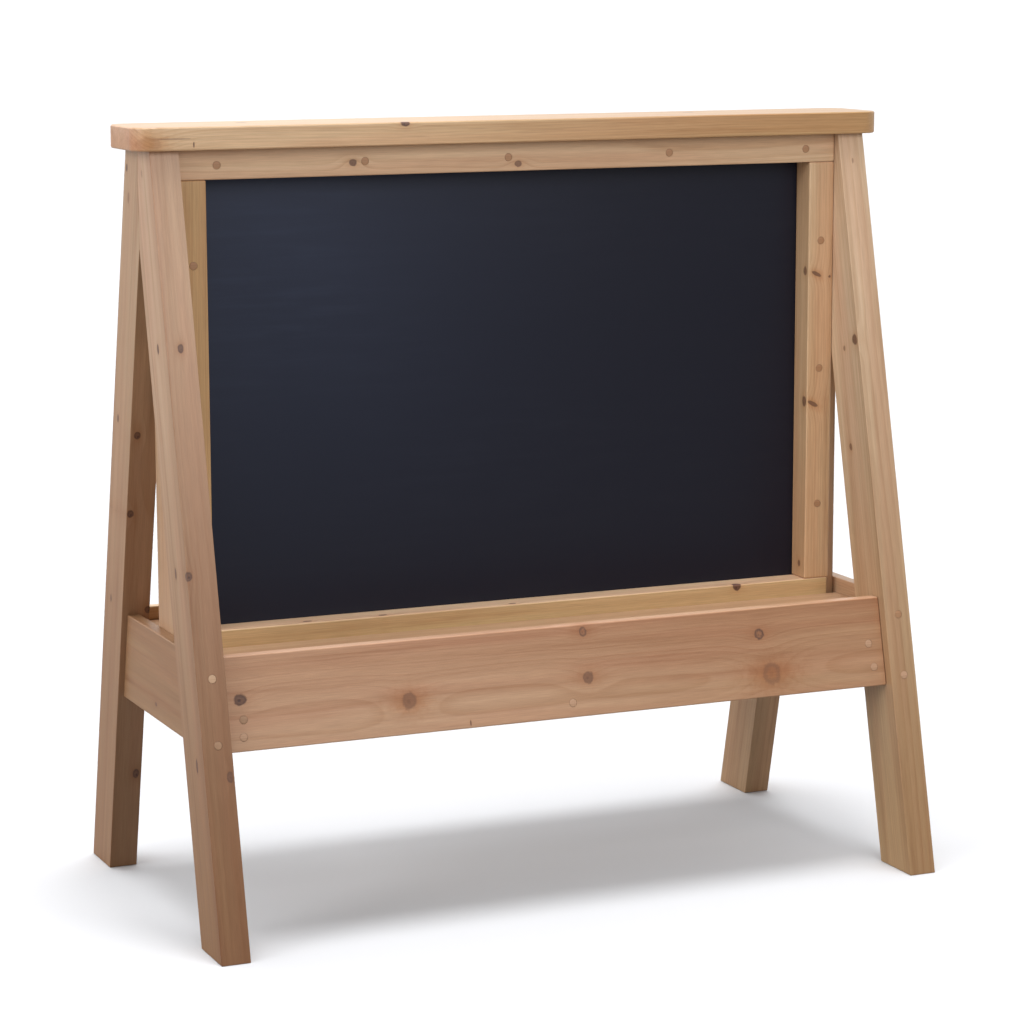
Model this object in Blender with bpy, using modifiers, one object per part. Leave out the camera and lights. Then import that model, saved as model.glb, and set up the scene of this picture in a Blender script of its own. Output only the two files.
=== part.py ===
"""Double-sided wooden chalkboard easel for children, with a chalk tray on each side.

Metres, +Z up. X runs along the board, -Y is the front and +Y the rear. The origin is on the floor,
under the middle of the cap board. Two A-shaped ends of leaning legs carry everything: the upright
board in its double frame between them, the cap board on top, and the two trays low down.
"""

import math

import bmesh
import bpy
from mathutils import Matrix, Vector

# Clearances
GAP = 0.0003
ARRIS = 0.002

# Legs: they lean in until each pair meets under the cap
LEGS_OUTER = 0.600
LEG_THICKNESS = 0.045
LEG_TOP_Z = 1.165
LEG_FACE_AT_FLOOR = 0.331
LEG_FACE_AT_TOP = 0.060
LEG_DEPTH_LEVEL = 0.0942

# Cap board
CAP_LENGTH = 1.252
CAP_WIDTH = 0.150
CAP_THICKNESS = 0.035
CAP_CORNER_RADIUS = 0.031
CAP_ARRIS = 0.003
CAP_CORNER_STEPS = 7

# Board and the frames that clamp it
PANEL_THICKNESS = 0.009
FRAME_TIMBER = 0.045
FRAME_BOTTOM_Z = 0.3915
BOTTOM_RAIL_END_GAP = 0.0027
PANEL_ARRIS = 0.0005

# Centre battens, which tie the frame to the end boards
BATTEN_WIDTH = 0.075
BATTEN_BOTTOM_Z = 0.300

# End boards between the front and the rear leg
END_BOARD_THICKNESS = 0.020
END_BOARD_INSET = 0.009
END_BOARD_BOTTOM_Z = 0.297
END_BOARD_TOP_Z = 0.434

# Aprons, which lean with the legs and close the trays
APRON_THICKNESS = 0.019
APRON_SET_BACK = 0.0165
APRON_BOTTOM_Z = 0.294
APRON_TOP_Z = 0.432

# Bearers under the frame and the tray floors
BEARER_THICKNESS = 0.045
BEARER_BOTTOM_Z = 0.301
BEARER_END_X = 0.530

# Tray floors
FLOOR_THICKNESS = 0.018

# Screws, and the wooden plugs that cover them
SCREW_HEAD_RADIUS = 0.005
SCREW_SHANK_RADIUS = 0.0025
SCREW_HEAD_HEIGHT = 0.004
SCREW_POINT_HEIGHT = 0.006
SCREW_SIDES = 12
PLUG_RADIUS = 0.0060
PLUG_BORE_RADIUS = 0.0063
PLUG_LENGTH = 0.012
PLUG_SIDES = 16
LEG_BORE_DEPTH = 0.020
LEG_SCREW_LENGTH = 0.120
LEG_SCREW_X = {"left": -0.5757, "right": 0.5790}
LEG_SCREW_HEIGHTS = {"lower": 0.311, "upper": 0.406}
APRON_BORE_DEPTH = 0.008
APRON_PLUG_LENGTH = 0.0075
APRON_PLUGS = {
    "left_low": (-0.530, 0.315),
    "left_high": (-0.528, 0.340),
    "centre": (0.003, 0.316),
    "right_low": (0.535, 0.324),
    "right_high": (0.529, 0.361),
}
CAP_SCREW_X = 0.300
CAP_SCREW_LENGTH = 0.062

# Derived sizes
LEGS_INNER = LEGS_OUTER - LEG_THICKNESS
LEAN = (LEG_FACE_AT_FLOOR - LEG_FACE_AT_TOP) / LEG_TOP_Z
LEAN_COS = math.cos(math.atan(LEAN))
FRAME_INNER_Y = PANEL_THICKNESS / 2
FRAME_OUTER_Y = FRAME_INNER_Y + FRAME_TIMBER
BOTTOM_RAIL_TOP_Z = FRAME_BOTTOM_Z + FRAME_TIMBER
TOP_RAIL_BOTTOM_Z = LEG_TOP_Z - FRAME_TIMBER
FLOOR_BOTTOM_Z = FRAME_BOTTOM_Z
FLOOR_TOP_Z = FLOOR_BOTTOM_Z + FLOOR_THICKNESS
END_BOARD_OUTER_X = LEGS_OUTER - END_BOARD_INSET
END_BOARD_INNER_X = END_BOARD_OUTER_X - END_BOARD_THICKNESS
BEARER_TOP_Z = FRAME_BOTTOM_Z - GAP

FACES = {"front": -1, "rear": 1}
ENDS = {"left": -1, "right": 1}


# Scene, materials and collections


def clear_scene():
    for obj in list(bpy.data.objects):
        bpy.data.objects.remove(obj, do_unlink=True)


def new_collection(name):
    collection = bpy.data.collections.new(name)
    bpy.context.scene.collection.children.link(collection)
    return collection


def new_material(name, colour, roughness, metallic=0.0):
    material = bpy.data.materials.new(name)
    material.use_nodes = True
    shader = material.node_tree.nodes["Principled BSDF"]
    shader.inputs["Base Color"].default_value = (*colour, 1.0)
    shader.inputs["Roughness"].default_value = roughness
    shader.inputs["Metallic"].default_value = metallic
    material.diffuse_color = (*colour, 1.0)
    return material


clear_scene()
EASEL = new_collection("kids_easel")
CUTTERS = new_collection("cutters")
PINE = new_material("pine_timber", (0.52, 0.33, 0.19), 0.55)
PINE_CAP = new_material("pine_cap", (0.58, 0.39, 0.22), 0.50)
PLUG_WOOD = new_material("plug_wood", (0.60, 0.40, 0.25), 0.55)
SLATE = new_material("chalkboard_slate", (0.018, 0.020, 0.028), 0.35)
STEEL = new_material("screw_steel", (0.62, 0.60, 0.52), 0.35, 1.0)

ORIGIN = bpy.data.objects.new("easel_origin", None)
EASEL.objects.link(ORIGIN)


# Solids


def add_object(name, mesh, matrix, material):
    """A visible sub-part, parented to the easel's origin."""
    obj = bpy.data.objects.new(name, mesh)
    EASEL.objects.link(obj)
    obj.parent = ORIGIN
    obj.matrix_world = matrix
    mesh.materials.append(material)
    return obj


def round_arrises(obj, width, segments=2):
    bevel = obj.modifiers.new("arris", "BEVEL")
    bevel.width = width
    bevel.segments = segments
    bevel.limit_method = "ANGLE"
    bevel.angle_limit = math.radians(30)


def box(name, low, high, material, arris=ARRIS):
    """A square-edged board between two corners, with eased arrises."""
    low, high = Vector(low), Vector(high)
    mesh = bpy.data.meshes.new(name)
    shape = bmesh.new()
    bmesh.ops.create_cube(shape, size=1.0, matrix=Matrix.Diagonal((*(high - low), 1.0)))
    shape.to_mesh(mesh)
    shape.free()
    obj = add_object(name, mesh, Matrix.Translation((low + high) / 2), material)
    round_arrises(obj, arris)
    return obj


def mesh_from_outline(name, outline, thickness):
    """A flat outline extruded to its thickness about its own plane, as a closed mesh."""
    curve = bpy.data.curves.new(name, "CURVE")
    curve.dimensions = "2D"
    curve.fill_mode = "BOTH"
    curve.extrude = thickness / 2
    spline = curve.splines.new("POLY")
    spline.points.add(len(outline) - 1)
    for point, (x, y) in zip(spline.points, outline):
        point.co = (x, y, 0.0, 1.0)
    spline.use_cyclic_u = True
    helper = bpy.data.objects.new(name + "_outline", curve)
    bpy.context.scene.collection.objects.link(helper)
    graph = bpy.context.evaluated_depsgraph_get()
    mesh = bpy.data.meshes.new_from_object(helper.evaluated_get(graph))
    bpy.data.objects.remove(helper, do_unlink=True)
    shape = bmesh.new()
    shape.from_mesh(mesh)
    bmesh.ops.remove_doubles(shape, verts=shape.verts, dist=0.00001)
    bmesh.ops.recalc_face_normals(shape, faces=shape.faces)
    shape.to_mesh(mesh)
    shape.free()
    mesh.name = name
    return mesh


def upright_board(name, outline, x_low, x_high, material, arris=ARRIS):
    """A board whose outline is drawn in Y and Z, and whose thickness runs along X."""
    mesh = mesh_from_outline(name, outline, x_high - x_low)
    turn = Matrix(((0, 0, 1, 0), (1, 0, 0, 0), (0, 1, 0, 0), (0, 0, 0, 1)))
    place = Matrix.Translation(((x_low + x_high) / 2, 0, 0)) @ turn
    obj = add_object(name, mesh, place, material)
    round_arrises(obj, arris)
    return obj


def level_board(name, outline, z_low, z_high, material, arris=ARRIS):
    """A board whose outline is drawn in X and Y, and whose thickness runs along Z."""
    mesh = mesh_from_outline(name, outline, z_high - z_low)
    place = Matrix.Translation((0, 0, (z_low + z_high) / 2))
    obj = add_object(name, mesh, place, material)
    round_arrises(obj, arris)
    return obj


def turned_mesh(name, profile, sides):
    """A solid of revolution about Z. The profile is (radius, height) pairs, from the top down."""
    mesh = bpy.data.meshes.new(name)
    shape = bmesh.new()
    points = [shape.verts.new((radius, 0.0, height)) for radius, height in profile]
    for start, end in zip(points, points[1:]):
        shape.edges.new((start, end))
    shape.to_mesh(mesh)
    shape.free()
    helper = bpy.data.objects.new(name + "_profile", mesh)
    bpy.context.scene.collection.objects.link(helper)
    screw = helper.modifiers.new("turn", "SCREW")
    screw.steps = sides
    screw.render_steps = sides
    screw.use_merge_vertices = True
    screw.merge_threshold = 0.00005
    graph = bpy.context.evaluated_depsgraph_get()
    turned = bpy.data.meshes.new_from_object(helper.evaluated_get(graph))
    bpy.data.objects.remove(helper, do_unlink=True)
    turned.name = name
    turned.shade_smooth()
    turned.set_sharp_from_angle(angle=math.radians(30))
    return turned


def cut(obj, name, mesh, matrix):
    """Takes a helper shape away from a board."""
    cutter = bpy.data.objects.new(name, mesh)
    CUTTERS.objects.link(cutter)
    cutter.matrix_world = matrix
    cutter.hide_render = True
    cutter.display_type = "WIRE"
    boolean = obj.modifiers.new(name, "BOOLEAN")
    boolean.operation = "DIFFERENCE"
    boolean.object = cutter


# Lines of the A-shaped ends, as the distance from the middle plane at a height


def leg_face_y(z):
    return LEG_FACE_AT_FLOOR - LEAN * z


def leg_back_y(z):
    return leg_face_y(z) - LEG_DEPTH_LEVEL


def apron_face_y(z):
    return leg_face_y(z) - APRON_SET_BACK / LEAN_COS


def apron_back_y(z):
    return apron_face_y(z) - APRON_THICKNESS / LEAN_COS


def signed(outline, side):
    """The outline of a front or rear piece from its distances to the middle plane."""
    return [(side * y, z) for y, z in outline]


# Fasteners


def facing(side):
    """Turns a fastener drawn along +Z, head up, so that its head faces the front or the rear."""
    return Matrix.Rotation(math.radians(-90 * side), 4, "X")


def screw_profile(length, allowance=0.0):
    """Countersunk head, shank and point, from the head's flat top at height 0 downwards."""
    shank = SCREW_SHANK_RADIUS + allowance
    return (
        (0.0, allowance),
        (SCREW_HEAD_RADIUS + allowance, allowance),
        (SCREW_HEAD_RADIUS + allowance, 0.0),
        (shank, -SCREW_HEAD_HEIGHT),
        (shank, SCREW_POINT_HEIGHT - length),
        (0.0, -length - allowance),
    )


def stepped_bore_profile(depth, length):
    """A plug's bore with the screw's clearance hole below it, from the board's face downwards."""
    mouth = PLUG_LENGTH
    shank = SCREW_SHANK_RADIUS + GAP
    return (
        (0.0, mouth),
        (PLUG_BORE_RADIUS, mouth),
        (PLUG_BORE_RADIUS, -depth),
        (shank, -depth),
        (shank, SCREW_POINT_HEIGHT - length - depth),
        (0.0, -length - depth - GAP),
    )


def plug(name, x, z, face_y, side, length, slope):
    """A plug driven in level from a leaning face and planed off flush with that face."""
    mesh = bpy.data.meshes.new(name)
    shape = bmesh.new()
    bmesh.ops.create_cone(
        shape,
        cap_ends=True,
        segments=PLUG_SIDES,
        radius1=PLUG_RADIUS,
        radius2=PLUG_RADIUS,
        depth=2 * length,
        matrix=facing(side),
    )
    face_normal = Vector((0.0, side, slope))
    planed = bmesh.ops.bisect_plane(
        shape,
        geom=shape.verts[:] + shape.edges[:] + shape.faces[:],
        plane_co=(0.0, 0.0, 0.0),
        plane_no=face_normal,
        clear_outer=True,
    )
    rim = [item for item in planed["geom_cut"] if isinstance(item, bmesh.types.BMEdge)]
    bmesh.ops.edgeloop_fill(shape, edges=rim)
    bmesh.ops.recalc_face_normals(shape, faces=shape.faces)
    shape.to_mesh(mesh)
    shape.free()
    mesh.shade_smooth()
    mesh.set_sharp_from_angle(angle=math.radians(30))
    return add_object(name, mesh, Matrix.Translation((x, side * face_y, z)), PLUG_WOOD)


# Sub-parts


def make_legs():
    crotch_z = (LEG_FACE_AT_FLOOR - LEG_DEPTH_LEVEL) / LEAN
    outline = (
        (leg_face_y(0.0), 0.0),
        (leg_back_y(0.0), 0.0),
        (GAP / 2, crotch_z),
        (GAP / 2, LEG_TOP_Z),
        (LEG_FACE_AT_TOP, LEG_TOP_Z),
    )
    legs = {}
    for face, side in FACES.items():
        for end, way in ENDS.items():
            low, high = sorted((way * LEGS_INNER, way * LEGS_OUTER))
            name = f"leg_{face}_{end}"
            legs[face, end] = upright_board(name, signed(outline, side), low, high, PINE)
    return legs


def make_cap():
    half_x = CAP_LENGTH / 2 - CAP_CORNER_RADIUS
    half_y = CAP_WIDTH / 2 - CAP_CORNER_RADIUS
    outline = []
    for quarter, (sx, sy) in enumerate(((1, 1), (-1, 1), (-1, -1), (1, -1))):
        for step in range(CAP_CORNER_STEPS + 1):
            angle = (quarter + step / CAP_CORNER_STEPS) * math.pi / 2
            x = sx * half_x + CAP_CORNER_RADIUS * math.cos(angle)
            y = sy * half_y + CAP_CORNER_RADIUS * math.sin(angle)
            outline.append((x, y))
    bottom = LEG_TOP_Z + GAP
    return level_board("cap_board", outline, bottom, bottom + CAP_THICKNESS, PINE_CAP, CAP_ARRIS)


def make_frame():
    """One frame on each face of the panel: two rails and two stiles."""
    top_rails = {}
    for face, side in FACES.items():
        y_low, y_high = sorted((side * FRAME_INNER_Y, side * FRAME_OUTER_Y))
        rail_x = LEGS_INNER - GAP
        top_rails[face] = box(
            f"{face}_top_rail",
            (-rail_x, y_low, TOP_RAIL_BOTTOM_Z),
            (rail_x, y_high, LEG_TOP_Z),
            PINE,
        )
        rail_x = LEGS_INNER - BOTTOM_RAIL_END_GAP
        box(
            f"{face}_bottom_rail",
            (-rail_x, y_low, FRAME_BOTTOM_Z),
            (rail_x, y_high, BOTTOM_RAIL_TOP_Z),
            PINE,
        )
        for end, way in ENDS.items():
            x_low, x_high = sorted((way * (LEGS_INNER - FRAME_TIMBER), way * (LEGS_INNER - GAP)))
            box(
                f"{face}_stile_{end}",
                (x_low, y_low, BOTTOM_RAIL_TOP_Z + GAP),
                (x_high, y_high, TOP_RAIL_BOTTOM_Z - GAP),
                PINE,
            )
    return top_rails


def make_panel():
    half_x = LEGS_INNER - 2 * GAP
    half_y = PANEL_THICKNESS / 2 - GAP
    box(
        "chalkboard_panel",
        (-half_x, -half_y, FRAME_BOTTOM_Z),
        (half_x, half_y, LEG_TOP_Z),
        SLATE,
        PANEL_ARRIS,
    )


def make_battens():
    """Each batten stops where the legs close in on it."""
    half_y = BATTEN_WIDTH / 2
    top_z = (LEG_FACE_AT_FLOOR - LEG_DEPTH_LEVEL - half_y) / LEAN - 0.005
    for end, way in ENDS.items():
        x_low, x_high = sorted((way * (LEGS_INNER + GAP), way * (END_BOARD_INNER_X - GAP)))
        box(
            f"centre_batten_{end}",
            (x_low, -half_y, BATTEN_BOTTOM_Z),
            (x_high, half_y, top_z),
            PINE,
        )


def make_end_boards():
    low_y = leg_back_y(END_BOARD_BOTTOM_Z) - GAP
    high_y = leg_back_y(END_BOARD_TOP_Z) - GAP
    outline = (
        (-low_y, END_BOARD_BOTTOM_Z),
        (low_y, END_BOARD_BOTTOM_Z),
        (high_y, END_BOARD_TOP_Z),
        (-high_y, END_BOARD_TOP_Z),
    )
    boards = {}
    for end, way in ENDS.items():
        low, high = sorted((way * END_BOARD_INNER_X, way * END_BOARD_OUTER_X))
        boards[end] = upright_board(f"end_board_{end}", outline, low, high, PINE)
    return boards


def make_aprons():
    outline = (
        (apron_face_y(APRON_BOTTOM_Z), APRON_BOTTOM_Z),
        (apron_back_y(APRON_BOTTOM_Z), APRON_BOTTOM_Z),
        (apron_back_y(APRON_TOP_Z), APRON_TOP_Z),
        (apron_face_y(APRON_TOP_Z), APRON_TOP_Z),
    )
    half_x = LEGS_INNER - GAP
    return {
        face: upright_board(f"{face}_apron", signed(outline, side), -half_x, half_x, PINE)
        for face, side in FACES.items()
    }


def make_bearers():
    low_y = apron_back_y(BEARER_BOTTOM_Z) - GAP
    high_y = apron_back_y(BEARER_TOP_Z) - GAP
    outline = (
        (-low_y, BEARER_BOTTOM_Z),
        (low_y, BEARER_BOTTOM_Z),
        (high_y, BEARER_TOP_Z),
        (-high_y, BEARER_TOP_Z),
    )
    for place, x in (("left", -BEARER_END_X), ("centre", 0.0), ("right", BEARER_END_X)):
        x_low = x - BEARER_THICKNESS / 2
        upright_board(f"tray_bearer_{place}", outline, x_low, x_low + BEARER_THICKNESS, PINE)


def make_tray_floors():
    """Each floor fills its tray, with an ear past each leg's inner face up to the end board."""
    inner_y = FRAME_OUTER_Y + GAP
    ear_y = leg_back_y(FLOOR_TOP_Z) - 2 * GAP
    outer_y = apron_back_y(FLOOR_TOP_Z) - 2 * GAP
    ear_x = END_BOARD_INNER_X - GAP
    body_x = LEGS_INNER - GAP
    outline = (
        (-ear_x, inner_y),
        (ear_x, inner_y),
        (ear_x, ear_y),
        (body_x, ear_y),
        (body_x, outer_y),
        (-body_x, outer_y),
        (-body_x, ear_y),
        (-ear_x, ear_y),
    )
    for face, side in FACES.items():
        placed = [(x, side * y) for x, y in outline]
        level_board(f"{face}_tray_floor", placed, FLOOR_BOTTOM_Z, FLOOR_TOP_Z, PINE, 0.001)


def make_leg_fasteners(legs, end_boards):
    """Two long screws through each leg into the end board's end grain, under wooden plugs."""
    bore = turned_mesh(
        "leg_bore", stepped_bore_profile(LEG_BORE_DEPTH, LEG_SCREW_LENGTH), PLUG_SIDES
    )
    screw = turned_mesh("leg_screw", screw_profile(LEG_SCREW_LENGTH), SCREW_SIDES)
    screw.materials.append(STEEL)
    for (face, end), leg in legs.items():
        side = FACES[face]
        x = LEG_SCREW_X[end]
        for level, z in LEG_SCREW_HEIGHTS.items():
            name = f"{face}_{end}_{level}"
            face_y = leg_face_y(z)
            mouth = Matrix.Translation((x, side * face_y, z)) @ facing(side)
            cut(leg, f"bore_{name}", bore, mouth)
            cut(end_boards[end], f"pilot_{name}", bore, mouth)
            head_y = face_y - LEG_BORE_DEPTH + SCREW_HEAD_HEIGHT
            place = Matrix.Translation((x, side * head_y, z)) @ facing(side)
            obj = bpy.data.objects.new(f"leg_screw_{name}", screw)
            EASEL.objects.link(obj)
            obj.parent = ORIGIN
            obj.matrix_world = place
            plug(f"leg_plug_{name}", x, z, face_y, side, PLUG_LENGTH, LEAN)


def make_apron_plugs(aprons):
    """Plugs over the screws that hold each apron to the bearers' end grain."""
    profile = (
        (0.0, APRON_BORE_DEPTH),
        (PLUG_BORE_RADIUS, APRON_BORE_DEPTH),
        (PLUG_BORE_RADIUS, -APRON_BORE_DEPTH),
        (0.0, -APRON_BORE_DEPTH),
    )
    bore = turned_mesh("apron_bore", profile, PLUG_SIDES)
    for face, side in FACES.items():
        for place, (x, z) in APRON_PLUGS.items():
            face_y = apron_face_y(z)
            mouth = Matrix.Translation((x, side * face_y, z)) @ facing(side)
            cut(aprons[face], f"bore_{face}_{place}", bore, mouth)
            plug(f"{face}_apron_plug_{place}", x, z, face_y, side, APRON_PLUG_LENGTH, LEAN)


def make_cap_screws(top_rails, cap):
    """Screws driven up through the top rails into the cap."""
    y = (FRAME_INNER_Y + FRAME_OUTER_Y) / 2
    bore = turned_mesh("cap_bore", screw_profile(CAP_SCREW_LENGTH, GAP), SCREW_SIDES)
    screw = turned_mesh("cap_screw", screw_profile(CAP_SCREW_LENGTH), SCREW_SIDES)
    screw.materials.append(STEEL)
    head_down = Matrix.Rotation(math.pi, 4, "X")
    for face, side in FACES.items():
        for end, way in ENDS.items():
            spot = Vector((way * CAP_SCREW_X, side * y, TOP_RAIL_BOTTOM_Z))
            place = Matrix.Translation(spot) @ head_down
            obj = bpy.data.objects.new(f"cap_screw_{face}_{end}", screw)
            EASEL.objects.link(obj)
            obj.parent = ORIGIN
            obj.matrix_world = place
            cut(top_rails[face], f"rail_bore_{face}_{end}", bore, place)
            cut(cap, f"cap_pilot_{face}_{end}", bore, place)


LEGS = make_legs()
CAP = make_cap()
TOP_RAILS = make_frame()
make_panel()
make_battens()
END_BOARDS = make_end_boards()
APRONS = make_aprons()
make_bearers()
make_tray_floors()
make_leg_fasteners(LEGS, END_BOARDS)
make_apron_plugs(APRONS)
make_cap_screws(TOP_RAILS, CAP)
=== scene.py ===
import math

import bmesh
import bpy
from mathutils import Matrix, Vector, noise


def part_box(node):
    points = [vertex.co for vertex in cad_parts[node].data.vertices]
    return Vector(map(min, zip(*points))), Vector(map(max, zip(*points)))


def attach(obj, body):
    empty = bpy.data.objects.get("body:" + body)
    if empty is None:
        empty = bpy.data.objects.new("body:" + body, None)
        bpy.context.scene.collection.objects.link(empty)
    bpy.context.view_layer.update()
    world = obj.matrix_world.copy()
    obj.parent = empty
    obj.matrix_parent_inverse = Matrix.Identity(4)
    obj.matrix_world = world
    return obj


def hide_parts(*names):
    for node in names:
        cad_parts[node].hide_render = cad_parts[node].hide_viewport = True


# The looks of a double-sided wooden chalkboard easel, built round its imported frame. Every board is
# made again as planed softwood with hand-eased arrises, real plug bores and a figure cut through
# one log, so that faces, edges and end grain agree. Metres, +Z up, -Y is the front.

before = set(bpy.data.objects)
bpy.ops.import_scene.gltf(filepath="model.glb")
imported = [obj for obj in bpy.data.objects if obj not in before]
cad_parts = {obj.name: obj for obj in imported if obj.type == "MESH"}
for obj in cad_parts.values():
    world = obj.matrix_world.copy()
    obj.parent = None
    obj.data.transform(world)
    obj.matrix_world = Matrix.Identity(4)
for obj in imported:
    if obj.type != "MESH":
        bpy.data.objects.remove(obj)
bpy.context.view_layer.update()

X, Y, Z = Vector((1, 0, 0)), Vector((0, 1, 0)), Vector((0, 0, 1))
FACES = {"front": -1, "rear": 1}
ENDS = {"left": -1, "right": 1}
GAP = 0.0003

# The legs' slope: the outer top corner of a rear leg's box gives its face at the floor
LEG_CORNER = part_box("leg_rear_right")[1]
LEG_TOP_FACE = 0.060
LEG_DEPTH_LEVEL = 0.0942
LEAN = (LEG_CORNER.y - LEG_TOP_FACE) / LEG_CORNER.z

# Making of the timber
ARRIS = 0.0022
CAP_ARRIS = 0.0034
PANEL_ARRIS = 0.0008
FLOOR_ARRIS = 0.001
CAP_CORNER_RADIUS = 0.031
CAP_CORNER_STEPS = 12
ARRIS_SEGMENTS = 4
LOOP_SPACING = 0.011
WEAR_DEPTH = 0.0006
WEAR_LENGTH = 0.035
CORNER_ANGLE = math.radians(8)
SHARP_ANGLE = math.radians(32)

# Plugs
PLUG_RADIUS = 0.0060
PLUG_GAP = 0.0003
PLUG_DEPTH = 0.0070
PLUG_CHAMFER = 0.0004
PLUG_CROWN = 0.0001
PLUG_SIDES = 40
TOP_RAIL_PLUG_X = (-0.493, -0.257, -0.020, 0.257, 0.502)
TOP_RAIL_PLUG_DROP = 0.0235
STILE_PLUG_X = 0.532
STILE_PLUG_Z = (0.561, 0.785, 0.993)

# Screws
THREAD_PITCH = 0.0026
THREAD_HEIGHT = 0.0007
THREAD_START = 0.005
THREAD_HALF_WIDTH = 0.22
SCREW_CORE = 0.0017
SCREW_POINT = 0.006
SCREW_SIDES = 20
RINGS_PER_PITCH = 6
RECESS_TOP_REACH = 0.0028
RECESS_FOOT_REACH = 0.0013
RECESS_HALF_WIDTH = 0.00055
RECESS_DEPTH = 0.0025


def leg_face_y(z):
    """How far a leg's leaning face stands from the middle plane at a height."""
    return LEG_CORNER.y - LEAN * z


def leg_back_y(z):
    return leg_face_y(z) - LEG_DEPTH_LEVEL


# Node trees


class Tree:
    """Short names for adding nodes: a value is a number, a vector or another node's output."""

    def __init__(self, tree):
        self.tree = tree

    def link(self, value, socket):
        if isinstance(value, bpy.types.NodeSocket):
            self.tree.links.new(value, socket)
        else:
            socket.default_value = value

    def node(self, kind, values=(), out=0, **settings):
        made = self.tree.nodes.new(kind)
        for name, value in settings.items():
            setattr(made, name, value)
        pairs = values.items() if isinstance(values, dict) else enumerate(values)
        for key, value in pairs:
            self.link(value, made.inputs[key])
        return made.outputs[out]

    def group(self, group, values):
        made = self.tree.nodes.new("ShaderNodeGroup")
        made.node_tree = group
        for key, value in values.items():
            self.link(value, made.inputs[key])
        return made.outputs

    def math(self, operation, *values):
        return self.node("ShaderNodeMath", values, operation=operation)

    def vector(self, operation, *values):
        out = 1 if operation in ("LENGTH", "DOT_PRODUCT") else 0
        return self.node("ShaderNodeVectorMath", values, out=out, operation=operation)

    def scaled(self, vector, *scales):
        return self.vector("MULTIPLY", vector, scales)

    def noise(self, vector, detail=2.0, roughness=0.5):
        values = {"Vector": vector, "Scale": 1.0, "Detail": detail, "Roughness": roughness}
        return self.node("ShaderNodeTexNoise", values, out="Fac")

    def mix(self, factor, first, second, blend="MIX"):
        made = self.tree.nodes.new("ShaderNodeMix")
        made.data_type = "RGBA"
        made.blend_type = blend
        for key, value in ((0, factor), (6, first), (7, second)):
            self.link(value, made.inputs[key])
        return made.outputs[2]

    def tint(self, base, factor, tone):
        """The base colour multiplied by a tone, as far as the factor says."""
        return self.mix(factor, base, (*tone, 1.0), "MULTIPLY")

    def smooth(self, value, start, end, low=0.0, high=1.0):
        values = {"Value": value, "From Min": start, "From Max": end, "To Min": low, "To Max": high}
        return self.node("ShaderNodeMapRange", values, interpolation_type="SMOOTHSTEP")

    def curve(self, value, *stops):
        """A broken line of one value through (position, height) stops."""
        made = self.tree.nodes.new("ShaderNodeValToRGB")
        elements = made.color_ramp.elements
        while len(elements) < len(stops):
            elements.new(0.5)
        for element, (position, height) in zip(elements, stops):
            element.position = position
            element.color = (height, height, height, 1.0)
        self.link(value, made.inputs[0])
        return made.outputs[0]

    def attribute(self, name):
        return self.node("ShaderNodeAttribute", out="Fac", attribute_name=name)

    def bump(self, height, strength, distance):
        values = {"Strength": strength, "Distance": distance, "Height": height}
        return self.node("ShaderNodeBump", values, out="Normal")


def new_group(name, inputs, outputs):
    """A node group, with its Tree, the values it is given and the sockets for its results."""
    group = bpy.data.node_groups.new(name, "ShaderNodeTree")
    for way, sockets in (("INPUT", inputs), ("OUTPUT", outputs)):
        for socket, kind in sockets.items():
            group.interface.new_socket(socket, in_out=way, socket_type=f"NodeSocket{kind}")
    given = group.nodes.new("NodeGroupInput").outputs
    result = group.nodes.new("NodeGroupOutput").inputs
    return group, Tree(group), given, result


def make_figure_group():
    """Growth rings about a pith that runs along X, with fibres, streaks and broad patches."""
    group, tree, given, result = new_group(
        "pine_figure",
        {
            "Vector": "Vector",
            "Pith": "Vector",
            "Spacing": "Float",
            "Push": "Float",
            "Seed": "Vector",
        },
        {"Latewood": "Float", "Fibre": "Float", "Streak": "Float", "Patch": "Float"},
    )
    place = tree.vector("ADD", given["Vector"], given["Seed"])
    wander = tree.noise(tree.scaled(place, 1.3, 7.0, 7.0), 1.5)
    ripple = tree.noise(tree.scaled(place, 8.0, 60.0, 60.0))
    across = tree.vector("SUBTRACT", tree.scaled(given["Vector"], 0.0, 1.0, 1.0), given["Pith"])
    radius = tree.vector("LENGTH", across)
    radius = tree.math("MULTIPLY_ADD", wander, 0.022, radius)
    radius = tree.math("MULTIPLY_ADD", ripple, 0.0007, radius)
    radius = tree.math("ADD", radius, given["Push"])
    rings = tree.math("DIVIDE", radius, given["Spacing"])
    years = tree.node(
        "ShaderNodeTexNoise",
        {"W": tree.math("MULTIPLY", rings, 0.45), "Scale": 1.0, "Detail": 1.0},
        out="Fac",
        noise_dimensions="1D",
    )
    rings = tree.math("MULTIPLY_ADD", years, 1.8, rings)
    phase = tree.math("FRACT", rings)
    latewood = tree.curve(phase, (0.0, 0.0), (0.42, 0.06), (0.78, 0.70), (0.92, 1.0), (1.0, 0.0))
    strength = tree.smooth(years, 0.32, 0.68, 0.35, 1.0)
    tree.link(tree.math("MULTIPLY", latewood, strength), result["Latewood"])
    fibre = tree.noise(tree.scaled(place, 26.0, 1100.0, 1100.0), 3.0, 0.6)
    tree.link(fibre, result["Fibre"])
    tree.link(tree.noise(tree.scaled(place, 2.4, 62.0, 62.0), 4.0, 0.58), result["Streak"])
    tree.link(tree.noise(tree.scaled(place, 1.8, 30.0, 30.0), 2.5), result["Patch"])
    return group


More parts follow.
